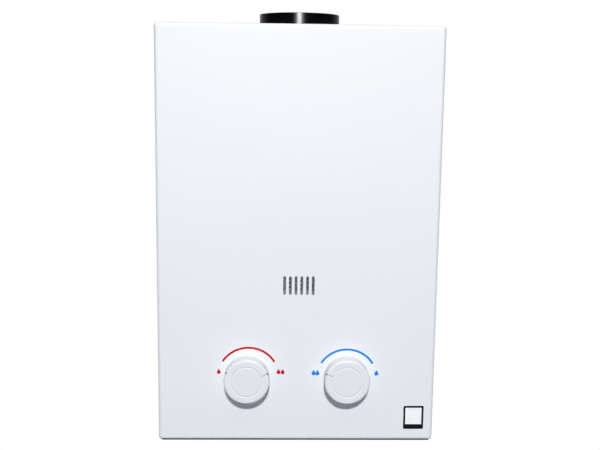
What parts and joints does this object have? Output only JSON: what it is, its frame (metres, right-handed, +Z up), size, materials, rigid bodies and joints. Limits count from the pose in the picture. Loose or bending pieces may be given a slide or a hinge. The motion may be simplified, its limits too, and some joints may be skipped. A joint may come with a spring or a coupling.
{
  "type": "tankless gas water heater",
  "caption": "Wall-hung tankless gas water heater: white pressed-steel cover, black flue collar, round control knobs, viewing slots, finned heat exchanger, burner and linked water valve.",
  "frame": {"origin": "centre of the hanging hole in the back plate, on the wall's surface", "axes": "+X to the right seen from the front, +Y into the wall, so the front panel faces -Y, +Z up"},
  "size_m": [0.295, 0.1388, 0.4723],
  "materials": {
    "white_enamel": "gloss white powder coat on pressed steel",
    "galvanised": "zinc-coated sheet",
    "black_enamel": "gloss black enamel",
    "copper": "drawn copper",
    "burner_steel": "stainless sheet",
    "cast_aluminium": "die cast",
    "brass": "machined brass",
    "steel": "zinc plated",
    "black_rubber": "moulded rubber",
    "white_plastic": "satin moulded",
    "dark_plastic": "moulded",
    "red_plastic": "moulded",
    "fibre": "red fibre",
    "cell_wrap": "plain printed can",
    "ceramic": "glazed ceramic",
    "red_lead": "silicone",
    "white_lead": "silicone",
    "black_lead": "PVC"
  },
  "bodies": {
    "heater": {"front_cover": "white_enamel", "back_plate": "galvanised", "bottom_plate": "galvanised", "exchanger_brackets": "galvanised", "burner_frame": "galvanised", "flue_hood": "galvanised", "switch_bracket": "galvanised", "flue_collar": "black_enamel", "exchanger_shell": "copper", "exchanger_fins": "copper", "exchanger_tubes": "copper", "water_coil": "copper", "hot_pipe": "copper", "gas_pipe": "copper", "burner_bars": "burner_steel", "gas_manifold": "cast_aluminium", "gas_valve_body": "cast_aluminium", "gas_injectors": "brass", "water_valve_body": "brass", "diaphragm_cover": "brass", "gas_inlet": "brass", "cold_inlet": "brass", "hot_outlet": "brass", "lock_nuts": "brass", "union_nut": "brass", "cover_screws": "steel", "collar_screws": "steel", "shelf_screws": "steel", "diaphragm_screws": "steel", "valve_spring": "steel", "valve_standoffs": "steel", "lid_hinge_pin": "steel", "battery_contacts": "steel", "viewing_gauze": "steel", "solenoid_valve": "steel", "thermostat": "steel", "diaphragm": "black_rubber", "battery_box": "dark_plastic", "microswitch": "dark_plastic", "igniter_box": "dark_plastic", "drain_plug": "dark_plastic", "inlet_washers": "fibre", "d_cells": "cell_wrap", "spark_electrode": "ceramic", "flame_sensor": "ceramic", "ignition_lead": "red_lead", "sensor_lead": "white_lead", "battery_lead": "black_lead"},
    "gas_knob": {"gas_knob": "white_plastic", "gas_spindle": "steel"},
    "water_knob": {"water_knob": "white_plastic", "water_spindle": "steel"},
    "battery_lid": {"battery_lid": "dark_plastic"},
    "valve_rod": {"push_rod": "steel", "diaphragm_plate": "steel", "gas_plug": "black_rubber"},
    "switch_plunger": {"switch_plunger": "red_plastic"}
  },
  "joints": [
    {"name": "gas_knob_turn", "type": "hinge", "parent": "heater", "child": "gas_knob", "pos_m": [-0.053, -0.122, -0.3445], "axis": [0, -1, 0], "range_deg": [0, 135]},
    {"name": "water_knob_turn", "type": "hinge", "parent": "heater", "child": "water_knob", "pos_m": [0.053, -0.122, -0.3445], "axis": [0, 1, 0], "range_deg": [0, 135]},
    {"name": "battery_lid_hinge", "type": "hinge", "parent": "heater", "child": "battery_lid", "pos_m": [0, -0.0664, -0.4148], "axis": [1, 0, 0], "range_deg": [0, 100]},
    {"name": "push_rod_slide", "type": "slide", "parent": "heater", "child": "valve_rod", "axis": [-1, 0, 0], "range_m": [0, 0.004], "deforming": ["valve_spring"]},
    {"name": "switch_plunger_slide", "type": "slide", "parent": "heater", "child": "switch_plunger", "axis": [-1, 0, 0], "range_m": [0, 0.004]}
  ],
  "couplings": [
    {"joint": "switch_plunger_slide", "follows": "push_rod_slide", "ratio": 1}
  ]
}
